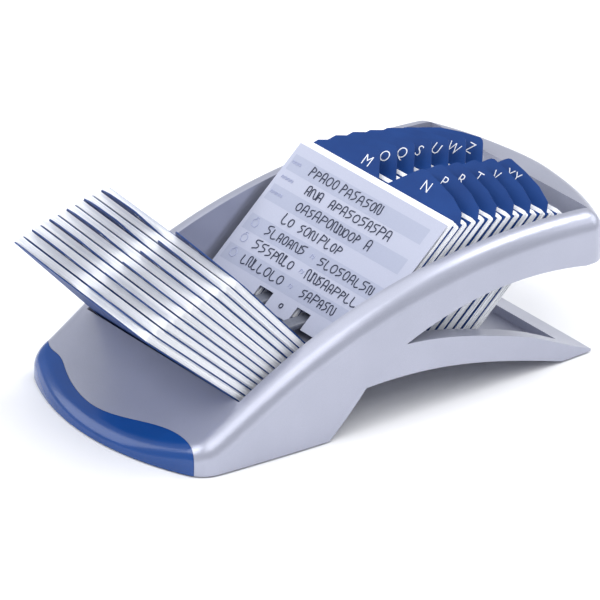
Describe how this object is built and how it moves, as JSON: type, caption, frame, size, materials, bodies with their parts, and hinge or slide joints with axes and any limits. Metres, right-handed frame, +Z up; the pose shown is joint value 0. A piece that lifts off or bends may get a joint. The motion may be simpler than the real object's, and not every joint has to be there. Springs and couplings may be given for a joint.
{
  "type": "desk card file",
  "caption": "Open desk card file: a sloping tray on an arched leg, with lettered index dividers and address cards that flip on two rails.",
  "frame": {"origin": "on the desk, under the middle of the whole object's box", "axes": "-Y out of the blue front, +Y to the rear tip, +Z up, +X across the cards"},
  "size_m": [0.1312, 0.2624, 0.0924],
  "materials": {
    "silver_plastic": "satin metallic",
    "blue_gloss": "gloss",
    "rail_plastic": "satin",
    "pad_rubber": "matt",
    "screw_steel": "zinc plated",
    "index_plastic": "satin",
    "card_paper": "uncoated",
    "record_paper": "uncoated, printed stripes"
  },
  "bodies": {
    "tray": {"upper_shell": "silver_plastic", "lower_shell": "silver_plastic", "nose_insert": "blue_gloss", "rail_left": "rail_plastic", "rail_right": "rail_plastic", "rail_seats": "rail_plastic", "foot_pads": "pad_rubber", "screws": "screw_steel"},
    "index_a": {"cards_a": "card_paper"},
    "divider_a": {"divider_a": "index_plastic"},
    "index_b": {"divider_b": "index_plastic", "cards_b": "card_paper"},
    "index_c": {"divider_c": "index_plastic", "cards_c": "card_paper"},
    "index_d": {"divider_d": "index_plastic", "cards_d": "card_paper"},
    "index_e": {"divider_e": "index_plastic", "cards_e": "card_paper"},
    "index_f": {"divider_f": "index_plastic", "cards_f": "card_paper"},
    "index_g": {"cards_g": "card_paper"},
    "divider_g": {"divider_g": "index_plastic"},
    "index_h": {"divider_h": "index_plastic", "cards_h": "card_paper"},
    "index_i": {"divider_i": "index_plastic", "cards_i": "card_paper"},
    "index_j": {"divider_j": "index_plastic", "cards_j": "card_paper"},
    "index_k": {"divider_k": "index_plastic", "cards_k": "card_paper"},
    "index_l": {"divider_l": "index_plastic"},
    "index_m": {"cards_m": "card_paper", "cards_l": "card_paper"},
    "divider_m": {"divider_m": "index_plastic"},
    "index_n": {"divider_n": "index_plastic", "cards_n": "card_paper"},
    "index_o": {"divider_o": "index_plastic", "cards_o": "card_paper"},
    "index_p": {"divider_p": "index_plastic", "cards_p": "card_paper"},
    "index_q": {"divider_q": "index_plastic", "cards_q": "card_paper"},
    "index_r": {"divider_r": "index_plastic", "cards_r": "card_paper"},
    "index_s": {"cards_s": "card_paper"},
    "divider_s": {"divider_s": "index_plastic"},
    "index_t": {"divider_t": "index_plastic", "cards_t": "card_paper"},
    "index_u": {"divider_u": "index_plastic", "cards_u": "card_paper"},
    "index_v": {"divider_v": "index_plastic", "cards_v": "card_paper"},
    "index_w": {"divider_w": "index_plastic", "cards_w": "card_paper"},
    "index_x": {"divider_x": "index_plastic", "cards_x": "card_paper"},
    "index_z": {"divider_z": "index_plastic", "cards_z": "card_paper"},
    "record_card": {"record_card": "record_paper"}
  },
  "joints": [
    {"name": "flip_a", "type": "hinge", "parent": "tray", "child": "index_a", "pos_m": [0, -0.07157, 0.02293], "axis": [1, 0, 0], "range_deg": [-59, 0]},
    {"name": "lift_a", "type": "slide", "parent": "index_a", "child": "divider_a", "axis": [0, -0.7314, 0.682], "range_m": [0, 0.014]},
    {"name": "flip_b", "type": "hinge", "parent": "tray", "child": "index_b", "pos_m": [0, -0.06759, 0.02403], "axis": [1, 0, 0], "range_deg": [-60.46, 0]},
    {"name": "flip_c", "type": "hinge", "parent": "tray", "child": "index_c", "pos_m": [0, -0.06361, 0.02513], "axis": [1, 0, 0], "range_deg": [-61.91, 0]},
    {"name": "flip_d", "type": "hinge", "parent": "tray", "child": "index_d", "pos_m": [0, -0.05963, 0.02595], "axis": [1, 0, 0], "range_deg": [-63.37, 0]},
    {"name": "flip_e", "type": "hinge", "parent": "tray", "child": "index_e", "pos_m": [0, -0.05565, 0.02664], "axis": [1, 0, 0], "range_deg": [-64.82, 0]},
    {"name": "flip_f", "type": "hinge", "parent": "tray", "child": "index_f", "pos_m": [0, -0.05167, 0.02732], "axis": [1, 0, 0], "range_deg": [-66.28, 0]},
    {"name": "flip_g", "type": "hinge", "parent": "tray", "child": "index_g", "pos_m": [0, -0.04769, 0.02801], "axis": [1, 0, 0], "range_deg": [-67.73, 0]},
    {"name": "lift_g", "type": "slide", "parent": "index_g", "child": "divider_g", "axis": [0, -0.6843, 0.7292], "range_m": [0, 0.014]},
    {"name": "flip_h", "type": "hinge", "parent": "tray", "child": "index_h", "pos_m": [0, -0.04371, 0.02869], "axis": [1, 0, 0], "range_deg": [-69.18, 0]},
    {"name": "flip_i", "type": "hinge", "parent": "tray", "child": "index_i", "pos_m": [0, -0.03973, 0.02938], "axis": [1, 0, 0], "range_deg": [-70.64, 0]},
    {"name": "flip_j", "type": "hinge", "parent": "tray", "child": "index_j", "pos_m": [0, -0.03575, 0.02988], "axis": [1, 0, 0], "range_deg": [-72.09, 0]},
    {"name": "flip_k", "type": "hinge", "parent": "tray", "child": "index_k", "pos_m": [0, -0.03177, 0.0301], "axis": [1, 0, 0], "range_deg": [-73.55, 0]},
    {"name": "flip_l", "type": "hinge", "parent": "tray", "child": "index_l", "pos_m": [0, -0.02779, 0.03032], "axis": [1, 0, 0], "range_deg": [-75, 0]},
    {"name": "flip_m", "type": "hinge", "parent": "tray", "child": "index_m", "pos_m": [0, -0.01027, 0.0308], "axis": [1, 0, 0], "range_deg": [0, 84]},
    {"name": "lift_m", "type": "slide", "parent": "index_m", "child": "divider_m", "axis": [0, 0.7314, 0.682], "range_m": [0, 0.014]},
    {"name": "flip_n", "type": "hinge", "parent": "tray", "child": "index_n", "pos_m": [0, -0.00541, 0.03061], "axis": [1, 0, 0], "range_deg": [0, 82.17]},
    {"name": "flip_o", "type": "hinge", "parent": "tray", "child": "index_o", "pos_m": [0, -0.00055, 0.03041], "axis": [1, 0, 0], "range_deg": [0, 80.33]},
    {"name": "flip_p", "type": "hinge", "parent": "tray", "child": "index_p", "pos_m": [0, 0.00431, 0.03022], "axis": [1, 0, 0], "range_deg": [0, 78.5]},
    {"name": "flip_q", "type": "hinge", "parent": "tray", "child": "index_q", "pos_m": [0, 0.00917, 0.02952], "axis": [1, 0, 0], "range_deg": [0, 76.67]},
    {"name": "flip_r", "type": "hinge", "parent": "tray", "child": "index_r", "pos_m": [0, 0.01403, 0.02877], "axis": [1, 0, 0], "range_deg": [0, 74.83]},
    {"name": "flip_s", "type": "hinge", "parent": "tray", "child": "index_s", "pos_m": [0, 0.01889, 0.02802], "axis": [1, 0, 0], "range_deg": [0, 73]},
    {"name": "lift_s", "type": "slide", "parent": "index_s", "child": "divider_s", "axis": [0, 0.7314, 0.682], "range_m": [0, 0.014]},
    {"name": "flip_t", "type": "hinge", "parent": "tray", "child": "index_t", "pos_m": [0, 0.02375, 0.02727], "axis": [1, 0, 0], "range_deg": [0, 71.17]},
    {"name": "flip_u", "type": "hinge", "parent": "tray", "child": "index_u", "pos_m": [0, 0.02861, 0.02653], "axis": [1, 0, 0], "range_deg": [0, 69.33]},
    {"name": "flip_v", "type": "hinge", "parent": "tray", "child": "index_v", "pos_m": [0, 0.03347, 0.02551], "axis": [1, 0, 0], "range_deg": [0, 67.5]},
    {"name": "flip_w", "type": "hinge", "parent": "tray", "child": "index_w", "pos_m": [0, 0.03833, 0.02428], "axis": [1, 0, 0], "range_deg": [0, 65.67]},
    {"name": "flip_x", "type": "hinge", "parent": "tray", "child": "index_x", "pos_m": [0, 0.04319, 0.02304], "axis": [1, 0, 0], "range_deg": [0, 63.84]},
    {"name": "flip_z", "type": "hinge", "parent": "tray", "child": "index_z", "pos_m": [0, 0.04805, 0.02181], "axis": [1, 0, 0], "range_deg": [0, 62]},
    {"name": "flip_record_card", "type": "hinge", "parent": "tray", "child": "record_card", "pos_m": [0, -0.01507, 0.03099], "axis": [1, 0, 0], "range_deg": [0, 84]}
  ],
  "couplings": [
    {"joint": "flip_a", "follows": "flip_k", "ratio": 0.80222},
    {"joint": "flip_b", "follows": "flip_k", "ratio": 0.822},
    {"joint": "flip_c", "follows": "flip_k", "ratio": 0.84178},
    {"joint": "flip_d", "follows": "flip_k", "ratio": 0.86156},
    {"joint": "flip_e", "follows": "flip_k", "ratio": 0.88133},
    {"joint": "flip_f", "follows": "flip_k", "ratio": 0.90111},
    {"joint": "flip_g", "follows": "flip_k", "ratio": 0.92089},
    {"joint": "flip_h", "follows": "flip_k", "ratio": 0.94067},
    {"joint": "flip_i", "follows": "flip_k", "ratio": 0.96044},
    {"joint": "flip_j", "follows": "flip_k", "ratio": 0.98022},
    {"joint": "flip_l", "follows": "flip_k", "ratio": 1.0198},
    {"joint": "flip_m", "follows": "flip_z", "ratio": 1.3548},
    {"joint": "flip_n", "follows": "flip_z", "ratio": 1.3253},
    {"joint": "flip_o", "follows": "flip_z", "ratio": 1.2957},
    {"joint": "flip_p", "follows": "flip_z", "ratio": 1.2661},
    {"joint": "flip_q", "follows": "flip_z", "ratio": 1.2366},
    {"joint": "flip_r", "follows": "flip_z", "ratio": 1.207},
    {"joint": "flip_s", "follows": "flip_z", "ratio": 1.1774},
    {"joint": "flip_t", "follows": "flip_z", "ratio": 1.1479},
    {"joint": "flip_u", "follows": "flip_z", "ratio": 1.1183},
    {"joint": "flip_v", "follows": "flip_z", "ratio": 1.0887},
    {"joint": "flip_w", "follows": "flip_z", "ratio": 1.0591},
    {"joint": "flip_x", "follows": "flip_z", "ratio": 1.0296},
    {"joint": "flip_record_card", "follows": "flip_z", "ratio": 1.3548}
  ]
}
